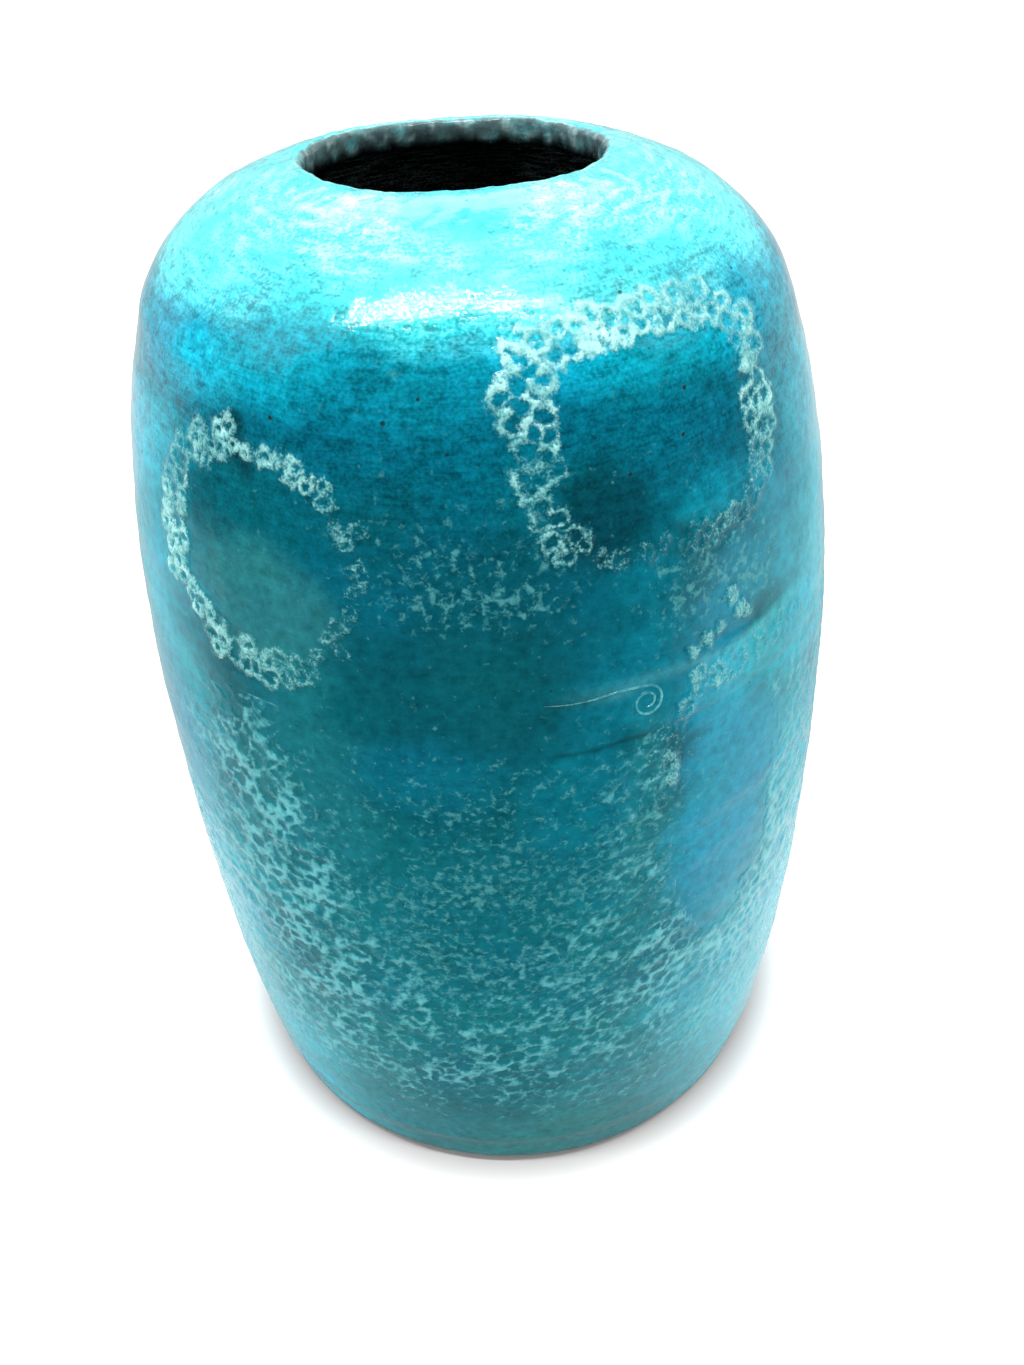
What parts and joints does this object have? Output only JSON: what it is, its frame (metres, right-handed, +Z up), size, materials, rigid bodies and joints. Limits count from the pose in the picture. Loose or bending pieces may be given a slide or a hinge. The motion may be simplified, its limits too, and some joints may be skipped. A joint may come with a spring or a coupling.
{
  "type": "ceramic vase",
  "caption": "Tall rounded glazed vase with a narrow mouth, thrown in joined sections, with turquoise coat, liner, netted lower glaze and raised foam rings.",
  "frame": {"origin": "middle of the foot, on the surface that the vase stands on", "axes": "+Z up along the throwing axis; -Y is the front, the side that the picture shows"},
  "size_m": [0.1317, 0.132, 0.2],
  "materials": {
    "clay": "matte",
    "slip": "matte",
    "turquoise_glaze": "gloss",
    "liner_glaze": "satin",
    "net_glaze": "satin",
    "foam_glaze": "satin"
  },
  "bodies": {
    "root": {"lower_section": "clay", "upper_section": "clay", "slip_joint": "slip", "turquoise_glaze": "turquoise_glaze", "liner_glaze": "liner_glaze", "net_glaze": "net_glaze", "ring_right": "foam_glaze", "ring_left": "foam_glaze", "ring_lower": "foam_glaze", "ring_back_right": "foam_glaze", "ring_back_left": "foam_glaze", "ring_back_lower": "foam_glaze"}
  },
  "joints": []
}
